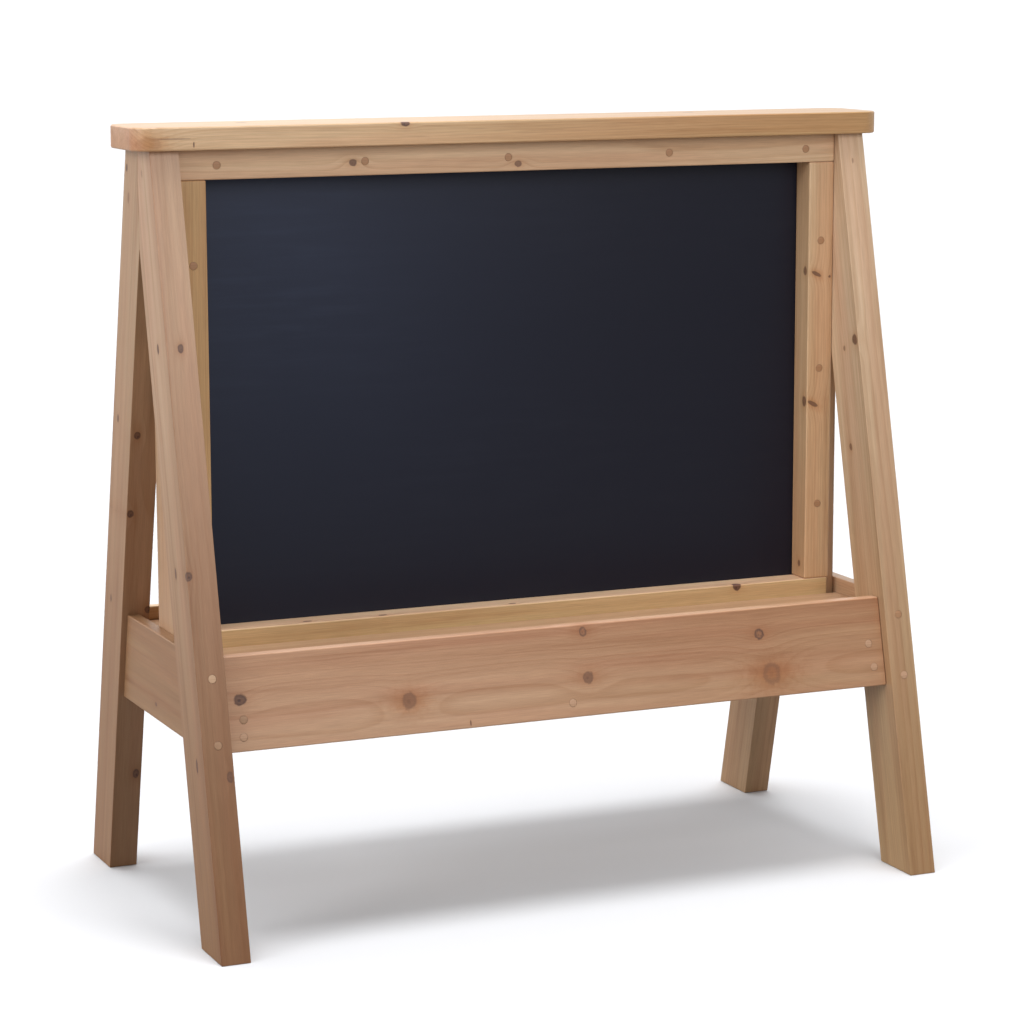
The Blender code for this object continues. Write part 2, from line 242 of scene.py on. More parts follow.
def make_knot_group():
    """One knot: a branch that crosses the board along an axis, and pushes the grain aside."""
    group, tree, given, result = new_group(
        "pine_knot",
        {
            "Vector": "Vector",
            "Centre": "Vector",
            "Axis": "Vector",
            "Radius": "Float",
            "Stretch": "Float",
            "Warmth": "Float",
            "Hollow": "Float",
        },
        {"Core": "Float", "Dark": "Float", "Halo": "Float", "Push": "Float"},
    )
    away = tree.vector("SUBTRACT", given["Vector"], given["Centre"])
    depth = tree.vector("DOT_PRODUCT", away, given["Axis"])
    along_axis = tree.node("ShaderNodeVectorMath", {0: given["Axis"], 3: depth}, operation="SCALE")
    flat = tree.vector("SUBTRACT", away, along_axis)
    parts = tree.tree.nodes.new("ShaderNodeSeparateXYZ")
    tree.link(flat, parts.inputs[0])
    along, across, up = parts.outputs
    oval = tree.node("ShaderNodeCombineXYZ", (tree.math("DIVIDE", along, given["Stretch"]), across, up))
    ragged = tree.noise(tree.scaled(given["Vector"], 120.0, 120.0, 120.0), 3.0, 0.55)
    distance = tree.math("DIVIDE", tree.vector("LENGTH", oval), given["Radius"])
    distance = tree.math("MULTIPLY", distance, tree.math("MULTIPLY_ADD", ragged, 0.7, 0.65))
    blotch = tree.noise(tree.scaled(given["Vector"], 260.0, 260.0, 260.0), 3.0, 0.6)
    uneven = tree.math("MULTIPLY_ADD", blotch, 0.9, tree.math("ADD", distance, -0.45))
    bark = tree.smooth(uneven, 0.40, 0.95, 0.10, 0.55)
    aside = tree.vector("ADD", oval, (0.0012, 0.0010, 0.0010))
    heart = tree.math("DIVIDE", tree.vector("LENGTH", aside), given["Radius"])
    heart = tree.smooth(tree.math("MULTIPLY_ADD", blotch, 0.5, heart), 0.72, 0.35, 0.0, 0.9)
    core = tree.smooth(distance, 1.22, 0.84)
    pale = tree.math("MULTIPLY", tree.smooth(uneven, 0.80, 0.25), given["Hollow"])
    rim = tree.math("MULTIPLY", core, tree.math("SUBTRACT", 1.0, pale))
    tree.link(tree.math("MAXIMUM", rim, tree.math("MULTIPLY", heart, 0.7)), result["Core"])
    crack = tree.noise(tree.scaled(given["Vector"], 60.0, 700.0, 700.0), 2.0)
    crack = tree.smooth(crack, 0.58, 0.70, 0.0, 0.6)
    tree.link(tree.math("MAXIMUM", tree.math("MAXIMUM", bark, heart), crack), result["Dark"])
    tail = tree.node("ShaderNodeCombineXYZ", (tree.math("DIVIDE", along, 1.7), across, up))
    reach = tree.math("DIVIDE", tree.vector("LENGTH", tail), given["Radius"])
    glow = tree.math("MULTIPLY", reach, tree.math("MULTIPLY_ADD", ragged, 1.0, 0.5))
    fade = tree.math("EXPONENT", tree.math("MULTIPLY", tree.math("MULTIPLY", glow, glow), -0.42))
    tree.link(tree.math("MULTIPLY", fade, given["Warmth"]), result["Halo"])
    wide = tree.math("EXPONENT", tree.math("MULTIPLY", tree.math("MULTIPLY", reach, reach), -0.13))
    tree.link(tree.math("MULTIPLY", wide, tree.math("MULTIPLY", given["Radius"], 0.9)), result["Push"])
    return group


FIGURE = make_figure_group()
KNOT = make_knot_group()


# Materials

LATE_TONE = (0.82, 0.73, 0.64)
PALE_TONE = (1.13, 1.18, 1.22)
DARK_TONE = (0.85, 0.78, 0.72)
PINK_TONE = (0.98, 0.91, 0.90)
AMBER_TONE = (0.78, 0.56, 0.38)
# Arrises: paler partly as rubbed wear and partly as a painted highlight
ARRIS_WEAR_AND_HIGHLIGHT = (1.22, 1.28, 1.34)
END_GRAIN_TONE = (0.94, 0.85, 0.90)
KNOT_BROWN = (0.175, 0.082, 0.048, 1.0)
KNOT_BLACK = (0.060, 0.026, 0.019, 1.0)


def new_material(name):
    """A material, its Tree and the inputs of its shader."""
    material = bpy.data.materials.new(name)
    material.use_nodes = True
    return material, Tree(material.node_tree), material.node_tree.nodes["Principled BSDF"].inputs


def pine(
    name,
    tone,
    seed,
    pith,
    length=1.0,
    knots=(),
    across=None,
    spacing=0.0042,
    contrast=0.8,
    painted_edge_highlight=(1.0, 1.0, 1.0),
    roughness=0.38,
):
    """Planed softwood. The tone is the colour at the low and at the high end of the board's X;
    knots are in the board's own axes; across is (start, end, tone): a tint that is full at one
    height on the board's Y and gone at another, which on the front legs is painted shade.
    The edge tint brightens the face towards the board's own +Y: a painted highlight."""
    material, tree, shader = new_material(name)
    place = tree.node("ShaderNodeTexCoord", out="Object")
    core, dark, halo, push = 0.0, 0.0, 0.0, 0.0
    for centre, axis, radius, stretch, warmth, darkness, hollow in knots:
        values = {"Vector": place, "Centre": centre, "Axis": axis, "Radius": radius}
        knot = tree.group(KNOT, {**values, "Stretch": stretch, "Warmth": warmth, "Hollow": hollow})
        inside = tree.math("MULTIPLY", knot["Core"], darkness)
        core = tree.math("MAXIMUM", core, inside)
        dark = tree.math("MAXIMUM", dark, tree.math("MULTIPLY", knot["Dark"], inside))
        halo = tree.math("MAXIMUM", halo, knot["Halo"])
        push = tree.math("ADD", push, knot["Push"])
    values = {"Vector": place, "Pith": (0.0, *pith), "Spacing": spacing, "Push": push}
    figure = tree.group(FIGURE, {**values, "Seed": (seed * 1.37, seed * 0.71, seed * 2.13)})
    parts = tree.tree.nodes.new("ShaderNodeSeparateXYZ")
    tree.link(place, parts.inputs[0])
    # Low to high end of the board; on the legs the darker foot is painted shade
    run = tree.smooth(parts.outputs[0], -length / 2, length / 2)
    low, high = ((*part, 1.0) for part in tone)
    wood = tree.mix(run, low, high)
    wood = tree.tint(wood, tree.math("MULTIPLY", figure["Latewood"], contrast), LATE_TONE)
    wood = tree.tint(wood, tree.smooth(figure["Streak"], 0.48, 0.74, 0.0, 1.0), PALE_TONE)
    wood = tree.tint(wood, tree.smooth(figure["Streak"], 0.48, 0.26, 0.0, 1.0), DARK_TONE)
    wood = tree.tint(wood, tree.smooth(figure["Patch"], 0.40, 0.64, 0.0, 1.0), PINK_TONE)
    if across:
        full, gone, across_tone = across
        wood = tree.tint(wood, tree.smooth(parts.outputs[1], gone, full), across_tone)
    grey = tree.smooth(figure["Fibre"], 0.30, 0.70, 0.90, 1.06)
    grey = tree.node("ShaderNodeCombineColor", (grey, grey, grey))
    wood = tree.mix(1.0, wood, grey, "MULTIPLY")
    wood = tree.tint(wood, halo, AMBER_TONE)
    wood = tree.mix(core, wood, tree.mix(dark, KNOT_BROWN, KNOT_BLACK))
    wood = tree.tint(wood, tree.attribute("end_grain"), END_GRAIN_TONE)
    # The face towards the board's own +Y, the top of rails and aprons, brightened: a painted highlight
    wood = tree.tint(wood, tree.attribute("edge_face"), painted_edge_highlight)
    # The arrises paler: partly worn wood, partly a painted highlight
    wood = tree.tint(wood, tree.math("MULTIPLY", tree.attribute("arris"), 0.7), ARRIS_WEAR_AND_HIGHLIGHT)
    tree.link(wood, shader["Base Color"])
    rough = tree.math("MULTIPLY_ADD", figure["Fibre"], 0.16, roughness)
    rough = tree.math("MULTIPLY_ADD", figure["Latewood"], -0.06, rough)
    tree.link(rough, shader["Roughness"])
    shader["IOR"].default_value = 1.5
    height = tree.math("MULTIPLY_ADD", figure["Latewood"], 0.5, figure["Fibre"])
    height = tree.math("MULTIPLY_ADD", figure["Streak"], 0.6, height)
    height = tree.math("MULTIPLY_ADD", dark, -1.2, height)
    tree.link(tree.bump(height, 0.22, 0.0006), shader["Normal"])
    return material


def chalkboard_paint():
    """Satin near-black paint with a blue cast, rolled on, with a faint haze of wiped chalk and a paler,
    bluer patch at the upper left that is a painted reflection.
    """
    material, tree, shader = new_material("chalkboard_paint")
    place = tree.node("ShaderNodeTexCoord", out="Object")
    cloud = tree.noise(tree.scaled(place, 2.2, 3.0, 3.0), 3.0)
    wipe = tree.noise(tree.scaled(place, 5.0, 60.0, 5.0), 4.0, 0.65)
    haze = tree.math("MULTIPLY", tree.smooth(cloud, 0.35, 0.75), tree.smooth(wipe, 0.40, 0.75))
    # A paler, bluer patch towards the upper left, mottled by the haze: a painted reflection
    away = tree.vector("SUBTRACT", place, (-0.56, 0.34, 0.0))
    reach = tree.vector("LENGTH", tree.scaled(away, 2.1, 1.8, 0.0))
    painted_sheen = tree.math("EXPONENT", tree.math("MULTIPLY", tree.math("MULTIPLY", reach, reach), -1.0))
    painted_sheen = tree.math("MULTIPLY", painted_sheen, tree.math("MULTIPLY_ADD", haze, 0.3, 0.85))
    paint = tree.mix(haze, (0.0064, 0.0070, 0.0165, 1.0), (0.0074, 0.0082, 0.0176, 1.0))
    paint = tree.mix(painted_sheen, paint, (0.0248, 0.0330, 0.0640, 1.0))
    tree.link(paint, shader["Base Color"])
    stipple = tree.noise(tree.scaled(place, 900.0, 900.0, 900.0))
    rough = tree.math("MULTIPLY_ADD", stipple, 0.06, 0.36)
    tree.link(tree.math("MULTIPLY_ADD", haze, 0.08, rough), shader["Roughness"])
    shader["IOR"].default_value = 1.36
    tree.link(tree.bump(stipple, 0.10, 0.0002), shader["Normal"])
    return material


def zinc():
    """Bright zinc plating, a little uneven."""
    material, tree, shader = new_material("screw_zinc")
    place = tree.node("ShaderNodeTexCoord", out="Object")
    tarnish = tree.noise(tree.scaled(place, 400.0, 400.0, 400.0), 3.0)
    plating = tree.mix(tarnish, (0.62, 0.58, 0.46, 1.0), (0.50, 0.50, 0.50, 1.0))
    tree.link(plating, shader["Base Color"])
    tree.link(tree.math("MULTIPLY_ADD", tarnish, 0.25, 0.22), shader["Roughness"])
    shader["Metallic"].default_value = 1.0
    return material


# Meshes and pieces


def end_corners(low, high):
    """The corners of a box's left end."""
    outline = ((low.y, low.z), (high.y, low.z), (high.y, high.z), (low.y, high.z))
    return [Vector((low.x, y, z)) for y, z in outline]


def board_axes(centre, along, facing):
    """A board's own axes: X along the grain, Z out of its best face."""
    along, facing = along.normalized(), facing.normalized()
    place = Matrix((along, facing.cross(along), facing)).transposed().to_4x4()
    place.translation = centre
    return place


def ease_by_hand(shape, seed, depth):
    """Rubs the arrises down unevenly, as sandpaper does. Layers note where the arrises, the end
    grain and the upper edge are."""
    layer = shape.verts.layers.float.new("arris")
    ends = shape.verts.layers.float.new("end_grain")
    edges = shape.verts.layers.float.new("edge_face")
    shape.normal_update()
    offset = Vector((seed * 3.1, seed * 1.7, seed * 0.9))
    half_way = 1.0 - math.sqrt(0.5)
    for vert in shape.verts:
        turn = 1.0 - max(abs(part) for part in vert.normal)
        share = min(turn / half_way, 1.0)
        wobble = 0.5 + 0.5 * noise.noise(vert.co / WEAR_LENGTH + offset)
        vert.co -= vert.normal * depth * share * wobble
        vert[layer] = share * min(0.35 + wobble, 1.0)
        vert[ends] = abs(vert.normal.x) ** 2
        vert[edges] = max(vert.normal.y, 0.0) ** 4


def sawn_mesh(name, rim, draw, seed, arris=ARRIS, wear=WEAR_DEPTH):
    """A flat rim drawn out along a vector, cut into short lengths and eased along its arrises."""
    shape = bmesh.new()
    base = shape.faces.new([shape.verts.new(point) for point in rim])
    raised = bmesh.ops.extrude_face_region(shape, geom=[base])["geom"]
    lifted = [item for item in raised if isinstance(item, bmesh.types.BMVert)]
    bmesh.ops.translate(shape, verts=lifted, vec=draw)
    bmesh.ops.recalc_face_normals(shape, faces=shape.faces)
    low = min(vert.co.x for vert in shape.verts)
    high = max(vert.co.x for vert in shape.verts)
    loops = int((high - low) / LOOP_SPACING)
    for step in range(1, loops):
        bmesh.ops.bisect_plane(
            shape,
            geom=shape.verts[:] + shape.edges[:] + shape.faces[:],
            plane_co=(low + (high - low) * step / loops, 0.0, 0.0),
            plane_no=(1.0, 0.0, 0.0),
        )
    bmesh.ops.bevel(
        shape,
        geom=[edge for edge in shape.edges if edge.calc_face_angle(0.0) > CORNER_ANGLE],
        offset=arris,
        segments=ARRIS_SEGMENTS,
        profile=0.5,
        affect="EDGES",
        clamp_overlap=True,
    )
    ease_by_hand(shape, seed, wear)
    mesh = bpy.data.meshes.new(name)
    shape.to_mesh(mesh)
    shape.free()
    return mesh


def turned_shape(profile, sides, ripple=None):
    """A solid of revolution about Z: (radius, height) pairs from the top down, closed on the axis."""
    shape = bmesh.new()
    rings = []
    for radius, height in profile:
        if radius == 0.0:
            rings.append([shape.verts.new((0.0, 0.0, height))] * sides)
            continue
        ring = []
        for step in range(sides):
            angle = 2 * math.pi * step / sides
            swell = radius + (ripple(angle, height) if ripple else 0.0)
            ring.append(shape.verts.new((swell * math.cos(angle), swell * math.sin(angle), height)))
        rings.append(ring)
    for upper, lower in zip(rings, rings[1:]):
        for step in range(sides):
            after = (step + 1) % sides
            corners = (upper[step], lower[step], lower[after], upper[after])
            shape.faces.new(list(dict.fromkeys(corners)))
    bmesh.ops.recalc_face_normals(shape, faces=shape.faces)
    return shape


def cut_away(obj, cutter_mesh):
    """Takes a cutter, given in the object's own axes, out of its mesh."""
    cutter = bpy.data.objects.new("cutter", cutter_mesh)
    bpy.context.scene.collection.objects.link(cutter)
    boolean = obj.modifiers.new("cut", "BOOLEAN")
    boolean.operation = "DIFFERENCE"
    boolean.object = cutter
    graph = bpy.context.evaluated_depsgraph_get()
    obj.data = bpy.data.meshes.new_from_object(obj.evaluated_get(graph))
    obj.modifiers.clear()
    bpy.data.objects.remove(cutter, do_unlink=True)


def add_piece(name, mesh, place, material, nodes=(), cutter=None):
    """Places a piece, cuts it with a cutter given on the object, and puts it on the frame."""
    obj = bpy.data.objects.new(name, mesh)
    bpy.context.scene.collection.objects.link(obj)
    if cutter:
        cutter.transform(place.inverted())
        cut_away(obj, cutter)
    obj.matrix_world = place
    obj.data.materials.append(material)
    obj.data.shade_smooth()
    obj.data.set_sharp_from_angle(angle=SHARP_ANGLE)
    even = obj.modifiers.new("even_normals", "WEIGHTED_NORMAL")
    even.keep_sharp = True
    if nodes:
        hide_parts(*nodes)
    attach(obj, "root")


def level_and_planed(side, slope):
    """Turns a shape drawn along +Z to face front or rear, level, and shears its end to a slope."""
    turn = Matrix.Rotation(math.radians(-90 * side), 4, "X")
    shear = Matrix.Identity(4)
    shear[1][2] = -side * slope
    return shear @ turn


def plug_bores(bores):
    """One cutter for all the plug bores of a board: each is (point on the face, side, slope)."""
    radius, depth = PLUG_RADIUS + PLUG_GAP, PLUG_DEPTH + PLUG_GAP
    joined = bmesh.new()
    cutter = bpy.data.meshes.new("bores")
    for point, side, slope in bores:
        profile = ((0.0, depth), (radius, depth), (radius, -depth), (0.0, -depth))
        shape = turned_shape(profile, PLUG_SIDES)
        shape.transform(Matrix.Translation(point) @ level_and_planed(side, slope))
        shape.to_mesh(cutter)
        shape.free()
        joined.from_mesh(cutter)
    joined.to_mesh(cutter)
    joined.free()
    return cutter


def add_plug(name, bore, material, nodes=()):
    """A plug that is a hair proud of the face, crowned and chamfered, in its bore."""
    point, side, slope = bore
    radius = PLUG_RADIUS
    profile = (
        (0.0, 1.4 * PLUG_CROWN),
        (radius * 0.6, 1.1 * PLUG_CROWN),
        (radius - PLUG_CHAMFER, 0.5 * PLUG_CROWN),
        (radius - 0.3 * PLUG_CHAMFER, -0.3 * PLUG_CHAMFER),
        (radius, -PLUG_CHAMFER),
        (radius, -PLUG_DEPTH),
        (0.0, -PLUG_DEPTH),
    )
    shape = turned_shape(profile, PLUG_SIDES)
    shape.transform(level_and_planed(side, slope))
    mesh = bpy.data.meshes.new(name)
    shape.to_mesh(mesh)
    shape.free()
    add_piece(name, mesh, Matrix.Translation(point), material, nodes)


def screw_thread(angle, height):
    """How far the thread stands out: a ridge once each pitch, turning with the angle."""
    turn = (height / THREAD_PITCH + angle / (2 * math.pi)) % 1.0
    return THREAD_HEIGHT * max(0.0, 1.0 - abs(turn - 0.5) / THREAD_HALF_WIDTH)


def screw_mesh(name, length):
    """A countersunk wood screw about Z, its flat head up at height 0, with a cross recess."""
    profile = [(0.0, 0.0), (0.0047, 0.0), (0.0050, -0.0003), (0.0024, -0.0040), (SCREW_CORE, -0.0048)]
    tip = length - SCREW_POINT
    rings = int((tip - THREAD_START) / (THREAD_PITCH / RINGS_PER_PITCH))
    for ring in range(1, rings + 1):
        profile.append((SCREW_CORE, -THREAD_START - (tip - THREAD_START) * ring / rings))
    profile.append((SCREW_CORE * 0.5, 0.002 - length))
    profile.append((0.0, -length))

    def thread(angle, height):
        return screw_thread(angle, height) if -tip < height < -THREAD_START else 0.0

    shape = turned_shape(profile, SCREW_SIDES, thread)
    mesh = bpy.data.meshes.new(name)
    shape.to_mesh(mesh)
    shape.free()
    return mesh


def cross_recess():
    """A tapered cross, as a cutter for a screw's head."""
    cross = bmesh.new()
    rings = []
    half = RECESS_HALF_WIDTH
    for height, reach in ((RECESS_DEPTH, RECESS_TOP_REACH), (-RECESS_DEPTH, RECESS_FOOT_REACH)):
        ring = []
        for turn in range(4):
            spin = Matrix.Rotation(turn * math.pi / 2, 3, "Z")
            for x, y in ((reach, -half), (reach, half), (half, half)):
                ring.append(cross.verts.new(spin @ Vector((x, y, height))))
        cross.faces.new(ring)
        rings.append(ring)
    top, bottom = rings
    for step in range(len(top)):
        cross.faces.new((top[step - 1], top[step], bottom[step], bottom[step - 1]))
    bmesh.ops.recalc_face_normals(cross, faces=cross.faces)
    mesh = bpy.data.meshes.new("cross_recess")
    cross.to_mesh(mesh)
    cross.free()
    return mesh


# Boards. A knot is (point on the object, axis, radius, stretch, warmth, darkness), and then how
# hollow it is, from 0 to 1, if its middle is paler than its rim


def middle_of(node):
    low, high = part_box(node)
    return (low + high) / 2


def own_knots(place, knots):
    """Knots given on the object, in the board's own axes and all with seven values."""
    inverse = place.inverted()
    turn = inverse.to_3x3()
    filled = [(*knot, 0.0)[:7] for knot in knots]
    return [(inverse @ Vector(point), turn @ axis, *rest) for point, axis, *rest in filled]


def add_board(node, place, corners, draw, tone, seed, pith, knots=(), bores=(), **look):
    """A timber board. Its rim is given by corners on the object and drawn out by a vector."""
    inverse = place.inverted()
    rim = [inverse @ Vector(corner) for corner in corners]
    own_draw = inverse.to_3x3() @ draw
    spread = [point.x for point in rim] + [point.x + own_draw.x for point in rim]
    arris = look.pop("arris", ARRIS)
    slot = look.pop("slot", "pine_timber")
    mesh = sawn_mesh(node, rim, own_draw, seed, arris)
    shift = Matrix.Translation(Vector(((min(spread) + max(spread)) / 2, 0.0, 0.0)))
    mesh.transform(shift.inverted())
    place = place @ shift
    length = max(spread) - min(spread)
    material = pine(f"pine_{node}", tone, seed, pith, length, own_knots(place, knots), **look)
    cutter = plug_bores(bores) if bores else None
    add_piece(f"{node}_timber", mesh, place, material, [node], cutter)


def add_square_board(node, along, facing, tone, seed, pith, knots=(), bores=(), **look):
    """A board that fills its node's box."""
    low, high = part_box(node)
    place = board_axes((low + high) / 2, along, facing)
    draw = X * (high.x - low.x)
    add_board(node, place, end_corners(low, high), draw, tone, seed, pith, knots, bores, **look)


def add_leg(face, end, tone, seed, pith, knots, **look):
    side, way = FACES[face], ENDS[end]
    name = f"leg_{face}_{end}"
    low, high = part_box(name)
    inner_y = min(abs(low.y), abs(high.y))
    outline = (
        (leg_face_y(0.0), 0.0),
        (leg_back_y(0.0), 0.0),
        (inner_y, (LEG_CORNER.y - LEG_DEPTH_LEVEL) / LEAN),
        (inner_y, high.z),
        (LEG_TOP_FACE, high.z),
    )
    corners = [(low.x, side * y, z) for y, z in outline]
    centre = Vector(((low.x + high.x) / 2, side * leg_face_y(0.0), 0.0))
    place = board_axes(centre, Vector((0.0, -side * LEAN, 1.0)), way * X)
    bores = {}
    for level in ("lower", "upper"):
        node = f"leg_plug_{face}_{end}_{level}"
        middle = middle_of(node)
        bores[node] = (Vector((middle.x, side * leg_face_y(middle.z), middle.z)), side, LEAN)
    draw = X * (high.x - low.x)
    look = {"spacing": 0.0075, "contrast": 0.65, **look}
    add_board(name, place, corners, draw, tone, seed, pith, knots, bores.values(), **look)
    for (node, bore), wood in zip(bores.items(), LEG_PLUG_WOODS[end]):
        add_plug(f"{node}_dowel", bore, PLUG_WOODS[wood], [node])


def add_cap():
    low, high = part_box("cap_board")
    radius = CAP_CORNER_RADIUS
    corners = []
    for quarter, (sx, sy) in enumerate(((1, 1), (-1, 1), (-1, -1), (1, -1))):
        for step in range(CAP_CORNER_STEPS + 1):
            angle = (quarter + step / CAP_CORNER_STEPS) * math.pi / 2
            x = sx * (high.x - radius) + radius * math.cos(angle)
            y = sy * (high.y - radius) + radius * math.sin(angle)
            corners.append((x, y, low.z))
    knots = (
        ((-0.201, -0.0735, 1.198), (Y - Z * 0.5).normalized(), 0.0045, 1.5, 0.5, 1.0),
        ((-0.536, -0.075, 1.174), (Z + Y * 0.25).normalized(), 0.0010, 1.0, 0.2, 1.0),
        ((-0.566, -0.075, 1.183), Y, 0.0011, 24.0, 0.3, 0.45),
        ((-0.603, -0.066, 1.176), Y, 0.0110, 1.4, 0.9, 0.16),
        ((0.330, 0.030, 1.200), Z, 0.0080, 1.3, 0.5, 0.8),
        ((-0.430, 0.020, 1.200), Z, 0.0060, 1.4, 0.5, 0.8),
    )
    add_board(
        "cap_board",
        board_axes((low + high) / 2, X, Z),
        corners,
        Z * (high.z - low.z),
        CAP_TONE,
        3,
        (-0.030, -0.055),
        knots,
        arris=CAP_ARRIS,
        roughness=0.29,
        slot="pine_cap",
    )


def frame_bores(face, face_y, plug_z):
    """Five bores on the top rail and three on each stile of one frame, by the plugs' names."""
    side = FACES[face]
    bores = {}
    for number, x in enumerate(TOP_RAIL_PLUG_X, 1):
        bores[f"{face}_top_rail_dowel_{number}"] = (Vector((x, face_y, plug_z)), side, 0.0)
    for end, way in ENDS.items():
        for number, z in enumerate(STILE_PLUG_Z, 1):
            point = Vector((way * STILE_PLUG_X, face_y, z))
            bores[f"{face}_stile_{end}_dowel_{number}"] = (point, side, 0.0)
    return bores


def own_bores(node, bores):
    return [bore for name, bore in bores.items() if name.startswith(node)]


def add_top_rail(face, face_y, bores):
    side = FACES[face]
    node = f"{face}_top_rail"
    knots = (
        ((side * 0.277, face_y, 1.140), Y, 0.0050, 1.2, 0.5, 0.9),
        ((side * 0.004, face_y, 1.131), Y, 0.0045, 1.3, 0.5, 0.8),
    )
    pith = (0.020, -0.060)
    add_square_board(
        node, -side * X, side * Y, RAIL_TONE, 5 + side, pith, knots, own_bores(node, bores)
    )


def add_bottom_rail(face, face_y):
    side = FACES[face]
    node = f"{face}_bottom_rail"
    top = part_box(node)[1].z
    slant = (Z - side * Y).normalized()
    knots = (
        ((side * 0.355, face_y - side * 0.012, top), Z, 0.0040, 1.8, 0.4, 0.8),
        ((side * 0.232, face_y - side * 0.009, top), Z, 0.0040, 1.8, 0.4, 0.8),
        ((side * 0.011, face_y - side * 0.010, top), Z, 0.0035, 1.8, 0.4, 0.8),
        ((side * -0.385, face_y - side * 0.003, top), slant, 0.0050, 1.4, 0.4, 1.0),
    )
    # The rail's top face brightened by the edge tint: a painted highlight
    look = {"painted_edge_highlight": (1.42, 1.40, 1.80), "contrast": 0.6}
    pith = (0.070, 0.020)
    add_square_board(node, -side * X, side * Y, BOTTOM_RAIL_TONE, 11 + side, pith, knots, **look)


def add_stile(face, end, face_y, bores):
    side, way = FACES[face], ENDS[end]
    node = f"{face}_stile_{end}"
    tone, knots = OCHRE_TONE, ()
    if end == "right":
        tone = STILE_TONE
        slant = Vector((0.85, 0.34, -0.42)).normalized()
        knots = (
            ((0.524, face_y, 0.9395), slant, 0.0030, 1.0, 0.8, 0.85),
            ((0.510, side * 0.038, 0.9440), X, 0.0048, 1.4, 0.3, 0.75),
            ((0.549, face_y, 0.934), Y, 0.0020, 1.0, 0.3, 0.9),
            ((0.521, face_y, 0.7270), slant, 0.0034, 1.0, 0.8, 0.85),
            ((0.510, side * 0.040, 0.7300), X, 0.0060, 1.4, 0.4, 0.8),
            ((0.510, -0.030, 0.460), X, 0.0040, 1.3, 0.4, 0.8),
        )
    seed = 17 + 3 * side + way
    add_square_board(node, Z, side * Y, tone, seed, (0.060, -0.030), knots, own_bores(node, bores))


def add_frames():
    """The rails and stiles on both faces of the panel, with the plugs over their screws."""
    for face in FACES:
        low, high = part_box(f"{face}_top_rail")
        face_y = low.y if face == "front" else high.y
        bores = frame_bores(face, face_y, high.z - TOP_RAIL_PLUG_DROP)
        add_top_rail(face, face_y, bores)
        add_bottom_rail(face, face_y)
        for end in ENDS:
            add_stile(face, end, face_y, bores)
        for name, bore in bores.items():
            add_plug(name, bore, PLUG_WOODS["dark"])


def add_panel():
    node = "chalkboard_panel"
    low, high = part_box(node)
    place = board_axes((low + high) / 2, X, -Y)
    inverse = place.inverted()
    rim = [inverse @ corner for corner in end_corners(low, high)]
    draw = inverse.to_3x3() @ (X * (high.x - low.x))
    mesh = sawn_mesh(node, rim, draw, 1, PANEL_ARRIS, 0.0)
    add_piece(f"{node}_board", mesh, place, chalkboard_paint(), [node])


def add_aprons():
    """The board along the front of each tray. Its knots are (x, z) and the rest of a knot."""
    spots = (
        (-0.531, 0.369, 0.0080, 1.15, 0.35, 1.0, 0.0),
        (-0.265, 0.343, 0.0122, 0.9, 0.95, 0.60, 0.0),
        (0.030, 0.421, 0.0075, 0.8, 0.60, 0.80, 0.80),
        (0.032, 0.352, 0.0088, 1.0, 0.60, 0.70, 0.0),
        (0.334, 0.392, 0.0078, 1.05, 0.50, 0.95, 0.75),
        (0.350, 0.330, 0.0165, 0.9, 1.0, 0.45, 0.80),
    )
    for face, side in FACES.items():
        name = f"{face}_apron"
        low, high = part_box(name)
        outer = max(abs(low.y), abs(high.y))
        level = high.y - low.y - LEAN * (high.z - low.z)

        def face_y(z):
            return side * (outer - LEAN * (z - low.z))

        outline = (
            (face_y(low.z), low.z),
            (face_y(low.z) - side * level, low.z),
            (face_y(high.z) - side * level, high.z),
            (face_y(high.z), high.z),
        )
        corners = [(low.x, y, z) for y, z in outline]
        centre = Vector((0.0, face_y((low.z + high.z) / 2), (low.z + high.z) / 2))
        place = board_axes(centre, -side * X, Vector((0.0, side, LEAN)))
        knots = [((-side * x, face_y(z), z), Y, *rest) for x, z, *rest in spots]
        knots.append(((side * 0.169, face_y(0.302), 0.302), Z, 0.0010, 1.0, 0.2, 0.9))
        bores = {}
        for spot in ("left_low", "left_high", "centre", "right_low", "right_high"):
            node = f"{face}_apron_plug_{spot}"
            middle = middle_of(node)
            bores[node] = (Vector((middle.x, face_y(middle.z), middle.z)), side, LEAN)
        draw = X * (high.x - low.x)
        # The aprons' top faces brightened by the edge tint: a painted highlight
        look = {"contrast": 0.6, "spacing": 0.0055, "painted_edge_highlight": (1.6, 1.75, 2.0)}
        tone = REAR_APRON_TONE
        if face == "front":
            tone = FRONT_APRON_TONE
            look["across"] = (0.066, -0.045, (0.90, 0.81, 0.75))
            look["painted_edge_highlight"] = (1.75, 2.20, 2.80)
        pith = (-0.03, -0.045)
        add_board(name, place, corners, draw, tone, 23 + side, pith, knots, bores.values(), **look)
        for node, bore in bores.items():
            wood = "warm" if node.endswith("left_high") else "pink"
            add_plug(f"{node}_dowel", bore, PLUG_WOODS[wood], [node])


